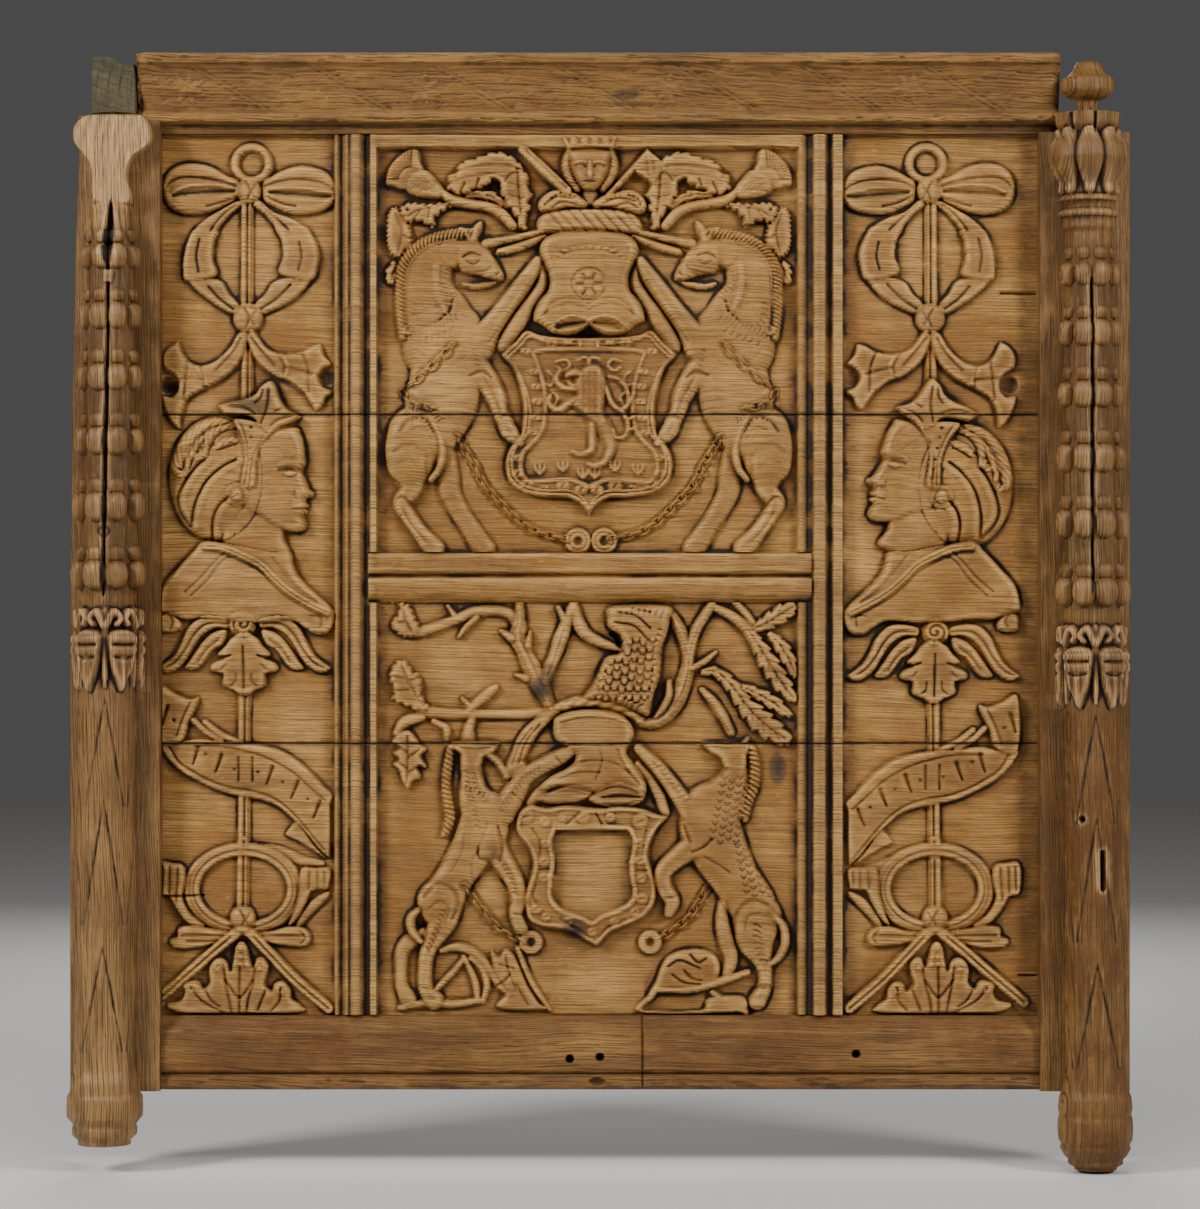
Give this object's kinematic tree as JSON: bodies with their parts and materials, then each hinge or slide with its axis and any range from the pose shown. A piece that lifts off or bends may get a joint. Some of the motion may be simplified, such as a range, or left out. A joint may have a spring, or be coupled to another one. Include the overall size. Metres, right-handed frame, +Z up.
{
  "type": "carved coat of arms panel",
  "caption": "Carved oak panelling with coats of arms, supporters, helmeted busts and scrolls in relief, framed by carved posts and rails, to be fixed to a wall.",
  "frame": {"origin": "centre of the middle board's flat back, midway between the posts", "axes": "+Z up, +X to the right seen from the carved side, +Y out of the flat back towards the wall"},
  "size_m": [1.2723, 0.1, 1.329],
  "materials": {
    "carved_boards": "old carved oak, waxed, pale on the high places and dark in the hollows",
    "posts": "old carved oak with open cracks, worn smooth",
    "rails": "old oak, reddish brown, worn and chipped along the edges",
    "corner_block": "dark weathered oak, dull"
  },
  "bodies": {
    "root": {"board_upper": "carved_boards", "board_middle": "carved_boards", "board_lower": "carved_boards", "post_left": "posts", "post_right": "posts", "rail_top": "rails", "rail_bottom": "rails", "corner_block": "corner_block"}
  },
  "joints": []
}
